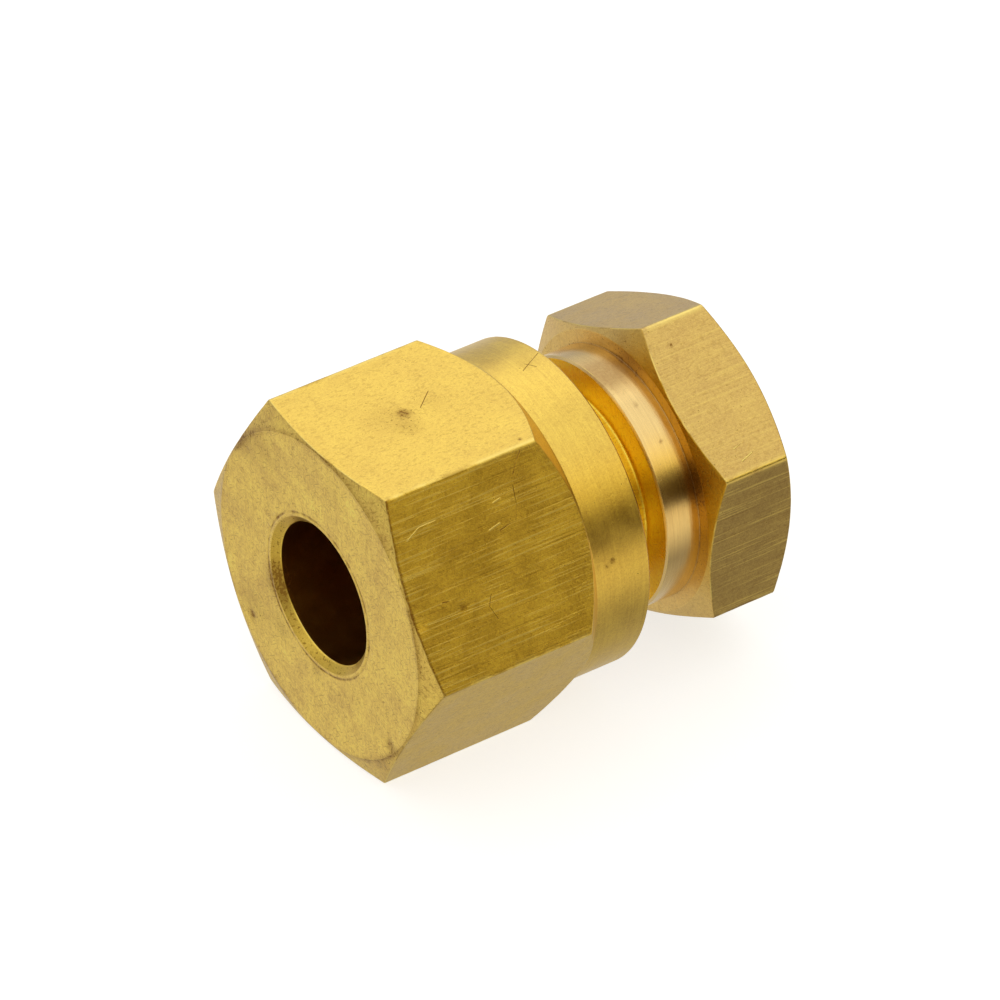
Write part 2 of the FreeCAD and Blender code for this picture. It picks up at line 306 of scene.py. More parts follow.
def section_rows(corners, columns, closed):
    """Rows of (place, radius) along a half section, with every corner rounded off."""
    points = np.array([
        [np.broadcast_to(corner.place, columns), np.broadcast_to(corner.radius, columns)]
        for corner in corners
    ], dtype=float)
    count = len(corners)
    arcs = []
    for number, corner in enumerate(corners):
        here = points[number]
        if not closed and number in (0, count - 1):
            arcs.append([(here, 0.0)])
            continue
        back = points[number - 1] - here
        ahead = points[(number + 1) % count] - here
        back_length = np.linalg.norm(back, axis=0)
        ahead_length = np.linalg.norm(ahead, axis=0)
        back = back / back_length
        ahead = ahead / ahead_length
        opening = np.arccos(np.clip((back * ahead).sum(axis=0), -1, 0.999999))
        half_turn = np.maximum((math.pi - opening) / 2, 1e-4)
        longest = LONGEST_ARC * np.minimum(back_length, ahead_length)
        reach = np.minimum(corner.rounding * np.tan(half_turn), longest)
        bisector = back + ahead
        bisector = bisector / np.maximum(np.linalg.norm(bisector, axis=0), 1e-9)
        bend = reach / np.tan(half_turn)
        centre = here + bisector * bend / np.cos(half_turn)
        start = here + back * reach - centre
        end = here + ahead * reach - centre
        rows = []
        for step in range(ARC_ROWS + 1):
            part = step / ARC_ROWS
            turned = 2 * half_turn
            blend = np.sin((1 - part) * turned) * start + np.sin(part * turned) * end
            rows.append((centre + blend / np.sin(turned), corner.worn * math.sin(math.pi * part)))
        arcs.append(rows)
    rows = []
    last = count if closed else count - 1
    for number in range(count):
        corner = corners[number]
        before = corners[number - 1]
        for step, (row, worn) in enumerate(arcs[number]):
            zone = before if step * 2 < len(arcs[number]) - 1 else corner
            rows.append((row, worn, zone.finish))
        if number < last:
            start = arcs[number][-1][0]
            end = arcs[(number + 1) % count][0][0]
            for step in range(1, corner.rows):
                part = step / corner.rows
                rows.append((start + (end - start) * part, 0.0, corner.finish))
    places = np.array([row[0][0] for row in rows])
    radii = np.array([row[0][1] for row in rows])
    marks = {name: np.array([row[2].get(name, 0.0) for row in rows]) for name in FINISHES}
    marks["worn"] = np.array([row[1] for row in rows])
    marks["tarnish_and_shade"] = np.zeros(len(rows))
    return places, radii, marks


def helix_turns(places, angles, centre):
    """How many turns of a helix lie between its centre and each point."""
    return (places - centre) / PITCH - angles / (2 * math.pi)


def helix_distance(places, angles, centre):
    """Distance along X from each point to the middle of the nearest turn of a helix."""
    turns = helix_turns(places, angles, centre)
    return np.abs((turns - np.round(turns)) * PITCH)


def soft_least(first, second, width):
    """The lesser of two arrays, with the crease between them rounded over width."""
    gap = np.maximum(width - np.abs(first - second), 0)
    return np.minimum(first, second) - gap ** 2 / (4 * width)


def body_thread_radius(places, angles):
    """Radius of the external thread, fading out towards the collar."""
    away = helix_distance(places, angles, THREAD_END)
    groove = ROOT + np.maximum(away - ROOT_HALF, 0) / FLANK_SLOPE
    turns = np.round(helix_turns(places, angles, THREAD_END))
    centre = THREAD_END + PITCH * (turns + angles / (2 * math.pi))
    fade = np.clip((centre - (THREAD_END - RUN_OUT)) / RUN_OUT, 0, 1)
    groove = groove + (CREST - ROOT) * fade ** 2
    return soft_least(groove, np.full_like(groove, CREST), THREAD_CREASE)


def nut_thread_radius(places, angles):
    """Radius of the internal thread: the body's ridges with clearance all round."""
    away = helix_distance(places, angles, THREAD_END + PITCH / 2)
    play = THREAD_PLAY / math.cos(FLANK_ANGLE)
    root = CREST + THREAD_PLAY
    root_half = CREST_HALF + play - THREAD_PLAY * FLANK_SLOPE
    roof = root - np.maximum(away - root_half, 0) / FLANK_SLOPE
    return -soft_least(-roof, np.full_like(roof, -(ROOT + THREAD_PLAY)), THREAD_CREASE)


def skin_points(places, radii, angles):
    """Rows and columns turned about X into points."""
    return np.stack([places, radii * np.cos(angles), radii * np.sin(angles)], axis=-1)


def skin_normals(points):
    """Outward normals of a grid of points that closes round the axis."""
    along = np.gradient(points, axis=0)
    around = np.roll(points, -1, axis=1) - np.roll(points, 1, axis=1)
    normals = np.cross(around, along)
    return normals / np.maximum(np.linalg.norm(normals, axis=-1, keepdims=True), 1e-12)


def ripple(points, scale, seed):
    """Smooth noise at each point, between about -1 and 1."""
    shift = Vector((seed * 7.3, seed * 3.1, seed * 5.7))  # far apart, so seeds look unrelated
    flat = points.reshape(-1, 3) * scale
    values = [noise.noise(Vector(point) + shift) for point in flat]
    return np.array(values).reshape(points.shape[:-1])


def build_skin(name, points, marks, closed, poles=()):
    """A mesh object from rows and columns of points. poles are the centres of the open ends."""
    row_count, column_count = points.shape[:2]
    vertices = list(map(tuple, points.reshape(-1, 3) * MM))
    row_numbers = range(row_count if closed else row_count - 1)
    faces = []
    for row in row_numbers:
        here = row * column_count
        there = (row + 1) % row_count * column_count
        for column in range(column_count):
            beside = (column + 1) % column_count
            faces.append((here + column, here + beside, there + beside, there + column))
    ends = ((0, True), (row_count - 1, False))
    for pole, (row, first) in zip(poles, ends):
        centre = len(vertices)
        vertices.append(tuple(value * MM for value in pole))
        here = row * column_count
        for column in range(column_count):
            beside = (column + 1) % column_count
            pair = (here + beside, here + column) if first else (here + column, here + beside)
            faces.append((centre,) + pair)
    mesh = bpy.data.meshes.new(name)
    mesh.from_pydata(vertices, [], faces)
    mesh.polygons.foreach_set("use_smooth", [True] * len(mesh.polygons))
    for mark, values in marks.items():
        layer = mesh.attributes.new(mark, "FLOAT", "POINT")
        padded = np.concatenate([values.reshape(-1), np.zeros(len(poles))])
        layer.data.foreach_set("value", padded.astype(np.float32))
    mesh.update()
    piece = bpy.data.objects.new(name, mesh)
    bpy.context.scene.collection.objects.link(piece)
    return piece


def spread_marks(marks, columns):
    """Per-row marks repeated over every column."""
    return {mark: np.repeat(values[:, None], columns, axis=1) for mark, values in marks.items()}


def bell(distance, width):
    """1 at no distance, falling smoothly to 0 about two widths away."""
    return np.exp(-(distance / width) ** 2)


def closeness(points, spot, width):
    """1 at a spot, falling smoothly to 0 about two widths away."""
    return bell(np.linalg.norm(points - np.array(spot), axis=-1), width)


def side_strength(angles, first_corner, strengths):
    """The strength of the hexagon side that each column is on."""
    side = (angles - math.radians(first_corner)) // (2 * HALF_SIDE)
    return np.array(strengths)[side.astype(int) % 6]


def make_nut():
    """The hexagon nut with its round skirt, bores and internal thread."""
    angles = column_angles(NUT_CORNER)
    columns = len(angles)
    radius = hexagon_radius(angles, NUT_CORNER, NUT_INSIDE, NUT_EDGE)
    chamfer_end = NUT_FRONT + (radius - NUT_FACE_CIRCLE) * NUT_FACE_SLOPE
    cone_start = SKIRT - (radius - SKIRT_RADIUS) / SKIRT_SLOPE
    minor = ROOT + THREAD_PLAY
    seat_end = NUT_SEAT + OLIVE_ROOM - NUT_BORE
    corners = [
        Corner(NUT_SEAT, NUT_BORE, rows=24, inside=1, turned=0.8),
        Corner(NUT_FRONT + ENTRY_DEPTH, NUT_BORE, rows=6, turned=1, painted_bounce_and_shade=0.35),
        Corner(NUT_FRONT, ENTRY_RADIUS, 0.03, rows=10, worn=0.3, scuffed=0.7),
        Corner(NUT_FRONT, ENTRY_RADIUS + LIP, rows=22, worn=0, scuffed=1),
        Corner(NUT_FRONT, NUT_FACE_CIRCLE - RIM, rows=8, worn=0, scuffed=1),
        Corner(NUT_FRONT, NUT_FACE_CIRCLE, 0.12, rows=8, worn=0.4, scuffed=1),
        Corner(chamfer_end, radius, 0.08, rows=60, drawn=1),
        Corner(cone_start, radius, 0.08, rows=8, turned=0.6),
        Corner(SKIRT, SKIRT_RADIUS, 0.1, rows=22, worn=0, turned=1),
        # Painted highlight: the rim's small chamfer is painted pale.
        Corner(NUT_BACK - BREAK, SKIRT_RADIUS, 0.04, rows=2, polish_and_highlight=1),
        Corner(NUT_BACK, SKIRT_RADIUS - BREAK, 0.04, rows=14, turned=0.6, painted_bounce_and_shade=0.5),
        Corner(NUT_BACK, NUT_MOUTH, rows=16, turned=0.6, painted_bounce_and_shade=0.8),
        Corner(NUT_BACK - (NUT_MOUTH - minor), minor, rows=76, painted_bounce_and_shade=0.6, inside=0.2),
        Corner(RELIEF_END, minor, rows=8, inside=1),
        Corner(RELIEF_END, RELIEF_RADIUS, rows=8, inside=1),
        Corner(RELIEF, RELIEF_RADIUS, rows=8, inside=1),
        Corner(RELIEF, OLIVE_ROOM, rows=8, inside=1),
        Corner(seat_end, OLIVE_ROOM, rows=8, inside=1),
    ]
    places, radii, marks = section_rows(corners, columns, closed=True)
    threaded = (places > RELIEF_END - 0.03) & (radii < NUT_MOUTH + 0.02)
    cut = nut_thread_radius(places, angles)
    radii = np.where(threaded, np.maximum(radii, cut), radii)
    points = skin_points(places, radii, angles)
    normals = skin_normals(points)
    marks = spread_marks(marks, columns)
    away = edge_distance(angles, NUT_CORNER, NUT_INSIDE)
    marks["worn"] = np.maximum(marks["worn"], marks["drawn"] * bell(away, NUT_EDGE))
    marks["drawn"] = marks["drawn"] * side_strength(angles, NUT_CORNER, NUT_SIDES)

    # A burr and a groove round the tube entry.
    on_face = places < NUT_FRONT + 0.05
    ridge = bell(radii - ENTRY_RADIUS - RIDGE_OUT, RIDGE_WIDTH) * on_face
    groove = bell(radii - ENTRY_RADIUS - GROOVE_OUT, GROOVE_WIDTH) * on_face
    uneven = 0.6 + 0.5 * ripple(points, scale=0.9, seed=1)
    uneven += 0.5 * ripple(points, scale=3.0, seed=2)
    points[..., 0] -= BURR * ridge * np.clip(uneven, 0, 1.5)
    points[..., 0] += BURR * groove * np.clip(uneven, 0.2, 1.5)

    # Tarnish in the groove, on the face's chamfer and along the edges, and painted shade over the
    # countersink.
    rim = bell(radii - NUT_FACE_CIRCLE, RIM_WIDTH) * (places < NUT_FRONT + 0.15)
    rim_wear = 0.55 + 0.9 * ripple(points, scale=0.3, seed=5)
    rim_wear += 0.5 * ripple(points, scale=1.6, seed=6)
    tarnish_and_shade = GROOVE_SMUDGE * groove * np.clip(uneven, 0.3, 1.2)
    tarnish_and_shade += RIM_SMUDGE * rim * np.clip(rim_wear, 0, 1.4)
    countersink = (radii < ENTRY_RADIUS) & (radii > NUT_BORE + 0.02) & (places < NUT_SEAT - 1)
    # Painted shade: the whole countersink is darkened.
    tarnish_and_shade += COUNTERSINK_SHADE * countersink
    tarnish_and_shade += CHAMFER_SMUDGE * ((radii > NUT_FACE_CIRCLE) & (places < chamfer_end))
    front_edge = bell(places - chamfer_end, FRONT_EDGE_WIDTH) * (radii > NUT_FACE_CIRCLE + 0.1)
    side_edge = bell(away, SIDE_EDGE_WIDTH) * (0.5 + ripple(points, scale=1.2, seed=9))
    tarnish_and_shade += FRONT_EDGE_SMUDGE * front_edge * marks["drawn"]
    tarnish_and_shade += SIDE_EDGE_SMUDGE * np.clip(side_edge, 0, 1) * marks["drawn"]
    for spot, width, strength in NUT_SMUDGES:
        tarnish_and_shade += strength * closeness(points, spot, width)
    marks["tarnish_and_shade"] = tarnish_and_shade

    outside = 1 - marks["inside"]
    shift = SLOW_WAVE * ripple(points, SLOW_SCALE, seed=3) * outside
    shift += NUT_QUICK_WAVE * ripple(points, QUICK_SCALE, seed=7) * marks["worn"] * outside
    for spot, width, depth in NUT_KNOCKS:
        shift -= depth * closeness(points, spot, width)
    points += normals * shift[..., None]
    return build_skin("nut_skin", points, marks, closed=True)


def make_body():
    """The body: socket, seat, external thread, neck, collar and blank hexagon."""
    angles = column_angles(BODY_CORNER)
    columns = len(angles)
    radius = hexagon_radius(angles, BODY_CORNER, BODY_INSIDE, BODY_EDGE)
    chamfer = (radius - BODY_FACE_CIRCLE) * BODY_FACE_SLOPE
    lead = CREST - ROOT + THREAD_LEAD
    cone_end = BODY_MOUTH + (MOUTH_RADIUS - SOCKET) / SEAT_SLOPE
    corners = [
        Corner(BODY_BACK, INNERMOST, rows=40, turned=0.5),
        Corner(BODY_BACK, BODY_FACE_CIRCLE, 0.12, rows=8),
        Corner(BODY_BACK - chamfer, radius, 0.1, rows=30, drawn=1),
        Corner(HEX_FRONT + chamfer, radius, 0.1, rows=8, painted_bounce_and_shade=0.9, shaded=1),
        Corner(HEX_FRONT, BODY_FACE_CIRCLE, 0.12, rows=12, worn=0.3, painted_bounce_and_shade=0.95, shaded=1),
        # The collar and its front break are painted pale, partly a painted highlight.
        Corner(HEX_FRONT, COLLAR_RADIUS, 0.015, rows=14, worn=0, turned=1, polish_and_highlight=1),
        Corner(COLLAR + BREAK, COLLAR_RADIUS, 0.04, rows=2, polish_and_highlight=1),
        Corner(COLLAR, COLLAR_RADIUS - BREAK, 0.04, rows=16, painted_bounce_and_shade=1),
        Corner(COLLAR, NECK_RADIUS, 0.15, rows=8, worn=0, painted_bounce_and_shade=1),
        Corner(NECK, NECK_RADIUS, 0.1, rows=6, worn=0, painted_bounce_and_shade=1),
        Corner(NECK, CREST, 0.06, rows=110, painted_bounce_and_shade=0.5),
        Corner(BODY_MOUTH + lead, CREST, 0.05, rows=14, painted_bounce_and_shade=0.35),
        Corner(BODY_MOUTH, CREST - lead, 0.05, rows=5),
        Corner(BODY_MOUTH, MOUTH_RADIUS, 0.05, rows=10, turned=0.8, polish_and_highlight=0.6),
        Corner(cone_end, SOCKET, 0.05, rows=20, inside=0.7),
        Corner(0, SOCKET, 0.1, rows=12, inside=0.7),
        Corner(0, INNERMOST, rows=1, inside=0.7),
    ]
    places, radii, marks = section_rows(corners, columns, closed=False)
    threaded = (places < NECK + 0.02) & (radii > CREST - lead - 0.02)
    cut = body_thread_radius(places, angles)
    radii = np.where(threaded, np.minimum(radii, cut), radii)
    points = skin_points(places, radii, angles)
    normals = skin_normals(points)
    marks = spread_marks(marks, columns)
    away = edge_distance(angles, BODY_CORNER, BODY_INSIDE)
    marks["worn"] = np.maximum(marks["worn"], marks["drawn"] * bell(away, BODY_WEAR_WIDTH))
    marks["drawn"] = marks["drawn"] * side_strength(angles, BODY_CORNER, BODY_SIDES)
    # Painted shade: on the hexagon's face the bounced amber turns darker towards the shaded side
    # round SHADE_MIDDLE.
    in_shade = np.clip((np.cos(angles - SHADE_MIDDLE) - 0.4) / 0.45, 0.1, 1)
    marks["painted_bounce_and_shade"] = np.where(marks["shaded"] > 0, marks["painted_bounce_and_shade"] * in_shade, marks["painted_bounce_and_shade"])

    # Painted shade in the crease round the collar's foot and on the hexagon's face, the body's
    # own tarnish and darker places, and little of any of it in the gap.
    at_hexagon = np.abs(places - HEX_FRONT) < 0.1
    # Painted shade: a dark line in the crease round the collar's foot.
    tarnish_and_shade = COLLAR_ROOT_SHADE * bell(radii - COLLAR_RADIUS, COLLAR_ROOT_WIDTH) * at_hexagon
    # Painted shade: the shaded side of the hexagon's face inside its chamfer circle.
    tarnish_and_shade = tarnish_and_shade + HEX_FRONT_SHADE * marks["shaded"] * in_shade * (radii < BODY_FACE_CIRCLE)
    for spot, width, strength in BODY_TARNISH_AND_SHADE:
        tarnish_and_shade = tarnish_and_shade + strength * closeness(points, spot, width)
    in_gap = (places < COLLAR + 0.02) & (radii < COLLAR_RADIUS - BREAK + 0.01)
    marks["tarnish_and_shade"] = np.where(in_gap, GAP_TARNISH_AND_SHADE_SHARE * tarnish_and_shade, tarnish_and_shade)

    outside = places > COLLAR - 0.1
    shift = SLOW_WAVE * ripple(points, SLOW_SCALE, seed=4)
    shift += BODY_QUICK_WAVE * ripple(points, QUICK_SCALE, seed=8) * marks["worn"]
    points += normals * (shift * outside * (1 - 0.8 * marks["polish_and_highlight"]))[..., None]
    poles = ((BODY_BACK, 0, 0), (0, 0, 0))
    return build_skin("body_skin", points, marks, closed=False, poles=poles)


def make_olive():
    """The barrel ring that seals on the tube."""
    angles = column_angles(0)
    rise = OLIVE_OUTSIDE - OLIVE_END
    corners = [
        Corner(olive_high.x, OLIVE_BORE, 0.08, rows=14, inside=0.4),
        Corner(olive_low.x, OLIVE_BORE, 0.08, rows=3),
        Corner(olive_low.x, OLIVE_END, 0.08, rows=6),
        Corner(olive_low.x + rise, OLIVE_OUTSIDE, 0.3, rows=12),
        Corner(olive_high.x - rise / SEAT_SLOPE, OLIVE_OUTSIDE, 0.3, rows=8),
        Corner(olive_high.x, OLIVE_END, 0.08, rows=3),
    ]
    places, radii, marks = section_rows(corners, len(angles), closed=True)
    points = skin_points(places, radii, angles)
    return build_skin("olive_skin", points, spread_marks(marks, len(angles)), closed=True)


# --- materials -----------------------------------------------------------------------------


# The colour sockets of a Mix node.
MIX_FIRST = 6
MIX_SECOND = 7
MIX_RESULT = 2


class Shader:
    """Short ways to add nodes to one material."""

    def __init__(self, name):
        self.material = bpy.data.materials.new(name)
        self.material.use_nodes = True
        self.tree = self.material.node_tree
        self.tree.nodes.clear()
        self.metal = self.add("ShaderNodeBsdfPrincipled")
        output = self.add("ShaderNodeOutputMaterial")
        self.tree.links.new(self.metal.outputs[0], output.inputs[0])

    def add(self, kind, inputs=None, **settings):
        """A node; inputs maps socket names or numbers to values or to other sockets."""
        made = self.tree.nodes.new(kind)
        for setting, value in settings.items():
            setattr(made, setting, value)
        for socket, value in (inputs or {}).items():
            if isinstance(value, bpy.types.NodeSocket):
                self.tree.links.new(value, made.inputs[socket])
            else:
                made.inputs[socket].default_value = value
        return made

    def sum(self, operation, first, second=0.0, third=0.0):
        """One arithmetic step."""
        inputs = {0: first, 1: second, 2: third}
        return self.add("ShaderNodeMath", inputs, operation=operation).outputs[0]

    def mark(self, name):
        """A value painted on the mesh."""
        return self.add("ShaderNodeAttribute", attribute_name=name).outputs["Fac"]

    def spread(self, value, low, high, to_low=0.0, to_high=1.0):
        """A value moved from one range to another and held inside it."""
        inputs = {"Value": value, "From Min": low, "From Max": high,
                  "To Min": to_low, "To Max": to_high}
        made = self.add("ShaderNodeMapRange", inputs, interpolation_type="SMOOTHSTEP")
        return made.outputs["Result"]

    def centred(self, value):
        """A value from 0 to 1 moved to lie round 0."""
        return self.sum("SUBTRACT", value, 0.5)

    def fading(self, mark, share):
        """1 where a mark is missing, less by share where it is full."""
        return self.sum("MULTIPLY_ADD", mark, -share, 1.0)

    def grain(self, where, scale, detail=2.0, rough=0.55):
        """Noise between 0 and 1."""
        inputs = {"Vector": where, "Scale": scale, "Detail": detail, "Roughness": rough}
        return self.add("ShaderNodeTexNoise", inputs).outputs["Fac"]

    def stretched(self, where, scale):
        """Coordinates scaled unevenly."""
        inputs = {0: where, 1: scale}
        return self.add("ShaderNodeVectorMath", inputs, operation="MULTIPLY").outputs[0]

    def leaning(self, where, turn, scale):
        """Coordinates turned about X, then scaled unevenly."""
        inputs = {0: where, "Angle": turn}
        made = self.add("ShaderNodeVectorRotate", inputs, rotation_type="X_AXIS")
        return self.stretched(made.outputs[0], scale)

    def cut(self, where, start, end, width):
        """1 on the line between two places given in millimetres, 0 a width away from it."""
        first = Vector(start) * MM
        run = Vector(end) * MM - first
        kind = "ShaderNodeVectorMath"
        reach = self.add(kind, {0: where, 1: first}, operation="SUBTRACT").outputs[0]
        along = {0: reach, 1: run / run.length_squared}
        part = self.add(kind, along, operation="DOT_PRODUCT").outputs["Value"]
        part = self.add("ShaderNodeMath", {0: part, 1: 1.0}, operation="MULTIPLY", use_clamp=True)
        scaled = {0: run, "Scale": part.outputs[0]}
        nearest = self.add(kind, scaled, operation="SCALE").outputs[0]
        away = self.add(kind, {0: reach, 1: nearest}, operation="DISTANCE")
        return self.spread(away.outputs["Value"], width * MM, width * MM * 0.4)

    def tint(self, share, first, second):
        """A colour between two colours."""
        made = self.add("ShaderNodeMix", {0: share}, data_type="RGBA")
        for socket, value in ((MIX_FIRST, first), (MIX_SECOND, second)):
            if isinstance(value, bpy.types.NodeSocket):
                self.tree.links.new(value, made.inputs[socket])
            else:
                made.inputs[socket].default_value = (*value, 1)
        return made.outputs[MIX_RESULT]


# Noise scales, in features per metre or per axis.
FINE_SCALE = 14000
PIT_SCALE = 6000
PATCH_SCALE = 450
BREAK_SCALE = 1600
HAIR_SCALES = (900, 1700)
STROKE_TURNS = (0.25, 1.15, 2.2)
STROKE_SCALE = (3000, 11000, 1500)
STREAK_SCALE = (170, 10500, 10500)
WIDE_STREAK_SCALE = (60, 1500, 1500)
RING_SCALE = (8000, 8000, 0)
RING_DRIFT = (0, 300, 300)
DOWN_SCALE = (2600, 3400, 700)
ACROSS_SCALE = (2600, 800, 3400)
BUMP_HEIGHT = 5e-6


def hairlines(shader, where, dull, drawn, turned):
    """Fine scratches: curved ones, and straight ones in three directions."""
    breaks = shader.grain(where, BREAK_SCALE, 2.0, 0.5)
    hair = 0.0
    for scale in HAIR_SCALES:
        level = shader.centred(shader.grain(where, scale, 1.0, 0.5))
        thread = shader.spread(shader.sum("ABSOLUTE", level), 0.013, 0.003)
        hair = shader.sum("MAXIMUM", hair, thread)
    hair = shader.sum("MULTIPLY", hair, shader.spread(breaks, 0.44, 0.6, 0.0, 0.6))
    for turn in STROKE_TURNS:
        strokes = shader.grain(shader.leaning(where, turn, STROKE_SCALE), 1.0, 1.0, 0.5)
        hair = shader.sum("MAXIMUM", hair, shader.spread(strokes, 0.62, 0.72))
    hair = shader.sum("MULTIPLY", hair, dull)
    hair = shader.sum("MULTIPLY", hair, shader.fading(drawn, 0.6))
    return shader.sum("MULTIPLY", hair, shader.fading(turned, 0.7))


def turned_rings(shader, where, turned):
    """Fine rings left by a lathe, as noise of the half section that drifts round the axis."""
    parts = shader.add("ShaderNodeSeparateXYZ", {0: where})
    squares = [shader.sum("POWER", parts.outputs[axis], 2.0) for axis in (1, 2)]
    radius = shader.sum("SQRT", shader.sum("ADD", *squares))
    section = shader.add("ShaderNodeCombineXYZ", {0: parts.outputs[0], 1: radius}).outputs[0]
    section = shader.stretched(section, RING_SCALE)
    inputs = {0: section, 1: shader.stretched(where, RING_DRIFT)}
    section = shader.add("ShaderNodeVectorMath", inputs, operation="ADD").outputs[0]
    return shader.sum("MULTIPLY", shader.centred(shader.grain(section, 1.0, 3.0, 0.7)), turned)


def uneven_shade(shader, where, fine, pits, patches, drawn, scuffed):
    """Small changes of brightness round 0: grain, pits, patches, rubbing and wide streaks."""
    down = shader.grain(shader.stretched(where, DOWN_SCALE), 1.0, 2.0, 0.6)
    across = shader.grain(shader.stretched(where, ACROSS_SCALE), 1.0, 2.0, 0.6)
    rubbed = shader.sum("SUBTRACT", shader.sum("ADD", down, across), 1.0)
    rubbed = shader.sum("MULTIPLY", rubbed, shader.sum("MULTIPLY_ADD", scuffed, 0.25, 0.12))
    grainy = shader.sum("MULTIPLY_ADD", drawn, 0.4, 0.6)
    pitted = shader.sum("MULTIPLY_ADD", shader.sum("ADD", drawn, scuffed), 0.5, 0.45)
    blotched = shader.sum("MULTIPLY_ADD", scuffed, 0.4, 0.4)
    streaked = shader.sum("MULTIPLY", drawn, 0.12)
    wide_streaks = shader.grain(shader.stretched(where, WIDE_STREAK_SCALE), 1.0, 2.0, 0.6)
    shade = rubbed
    layers = ((fine, grainy), (pits, pitted), (patches, blotched), (wide_streaks, streaked))
    for noise_level, strength in layers:
        shade = shader.sum("MULTIPLY_ADD", shader.centred(noise_level), strength, shade)
    return shade


def brass(name, bright, flat, recess, stain_and_shade, roughness, light_lines=(), dark_lines=()):
    """Bare machined brass, with lines, hairlines, specks, tarnish and scratches.

    bright is the colour of turned faces and flat of drawn ones. The recess colour is painted
    amber light bounced between brass faces in recesses, and the stain colour serves both
    tarnish and painted shade. Scratches are as in BRIGHT_SCRATCHES.
    """
    shader = Shader(name)
    where = shader.add("ShaderNodeTexCoord").outputs["Object"]
    marks = [shader.mark(mark) for mark in FINISHES]
    drawn, turned, inside, painted_bounce_and_shade, polish_and_highlight, scuffed, shaded = marks
    worn = shader.mark("worn")
    tarnish_and_shade = shader.mark("tarnish_and_shade")

    fine = shader.grain(where, FINE_SCALE, 3.0, 0.7)
    pits = shader.grain(where, PIT_SCALE, 3.0, 0.65)
    patches = shader.grain(where, PATCH_SCALE, 4.0, 0.6)
    dull = shader.fading(polish_and_highlight, 0.8)
    hair = hairlines(shader, where, dull, drawn, turned)
    rings = turned_rings(shader, where, turned)
    stained = shader.sum("MULTIPLY_ADD", drawn, 0.02, pits)
    specks = shader.spread(shader.sum("MULTIPLY_ADD", tarnish_and_shade, 0.15, stained), 0.65, 0.74)
    specks = shader.sum("MULTIPLY", specks, dull)
    streaks = shader.grain(shader.stretched(where, STREAK_SCALE), 1.0, 2.0, 0.6)
    light = shader.sum("MULTIPLY", shader.spread(streaks, 0.56, 0.66), drawn)
    dark = shader.sum("MULTIPLY", shader.spread(streaks, 0.44, 0.33), drawn)

    # Colour: each finish's own, times the shade, then light and dark marks over it.
    shade = uneven_shade(shader, where, fine, pits, patches, drawn, scuffed)
    shade = shader.sum("MULTIPLY_ADD", shade, dull, 1.0)
    shade = shader.sum("MULTIPLY_ADD", rings, 0.45, shade)
    warm = {0: shader.sum("POWER", shade, 0.75), 1: shade, 2: shader.sum("POWER", shade, 0.9)}
    warm = shader.add("ShaderNodeCombineXYZ", warm).outputs[0]
    colour = shader.tint(drawn, bright, flat)
    # Polished faces are paler and glossier, the paleness partly a painted highlight.
    colour = shader.tint(polish_and_highlight, colour, PALE_BRASS)
    # Painted light and shade: recesses take the amber of light bounced between brass faces,
    # darkened to painted shade on the hexagon face's shaded side.
    colour = shader.tint(painted_bounce_and_shade, colour, shader.tint(shaded, recess, PAINTED_SHADE_AMBER))
    colour = shader.stretched(colour, warm)
    stained_edge = shader.sum("MULTIPLY", worn, shader.spread(patches, 0.5, 0.62))
    # Worn edges are lighter: partly bare rubbed brass, partly a painted highlight.
    worn_shine_and_highlight = shader.sum("MULTIPLY", worn, shader.spread(patches, 0.58, 0.42))
    hair_share = shader.sum("MULTIPLY_ADD", scuffed, 0.2, 0.18)
    layers = (
        (light, 0.75, LIGHT_BRASS),
        (dark, 0.3, stain_and_shade),
        (hair, hair_share, stain_and_shade),
        # Tarnish, with painted shade at the countersink, the collar's foot and the hexagon's
        # face.
        (shader.spread(tarnish_and_shade, 0.1, 1.2), 0.55, stain_and_shade),
        (specks, 0.6, stain_and_shade),
        (stained_edge, 0.35, stain_and_shade),
        (worn_shine_and_highlight, 0.8, LIGHT_BRASS),
        (inside, 0.85, BORE_BROWN),
    )
    for mark, share, tone in layers:
        colour = shader.tint(shader.sum("MULTIPLY", mark, share), colour, tone)

    # Height for the bump: grain and lines, with hairlines and specks sunk in.
    height = shader.sum("MULTIPLY", shader.sum("MULTIPLY_ADD", fine, 0.8, pits), dull)
    height = shader.sum("MULTIPLY_ADD", shader.sum("SUBTRACT", light, dark), 0.5, height)
    height = shader.sum("MULTIPLY_ADD", rings, 0.9, height)
    height = shader.sum("SUBTRACT", height, shader.sum("MULTIPLY", hair, 0.8))
    height = shader.sum("SUBTRACT", height, specks)
    for lines, tone, lift in ((light_lines, LIGHT_BRASS, 5.0), (dark_lines, stain_and_shade, -2.0)):
        for places, width in lines:
            for start, end in zip(places, places[1:]):
                cut = shader.cut(where, start, end, width)
                colour = shader.tint(shader.sum("MULTIPLY", cut, 0.85), colour, tone)
                height = shader.sum("MULTIPLY_ADD", cut, lift, height)

    gloss = shader.spread(patches, 0.3, 0.7, roughness - 0.03, roughness + 0.05)
    for mark, change in ((polish_and_highlight, -0.08), (drawn, 0.06), (specks, 0.15)):
        gloss = shader.sum("MULTIPLY_ADD", mark, change, gloss)
    inputs = {"Height": height, "Strength": 1.0, "Distance": BUMP_HEIGHT}
    bump = shader.add("ShaderNodeBump", inputs)

    shader.metal.inputs["Metallic"].default_value = 1.0
    links = shader.tree.links
    links.new(colour, shader.metal.inputs["Base Color"])
    links.new(gloss, shader.metal.inputs["Roughness"])
    links.new(bump.outputs[0], shader.metal.inputs["Normal"])
    return shader.material


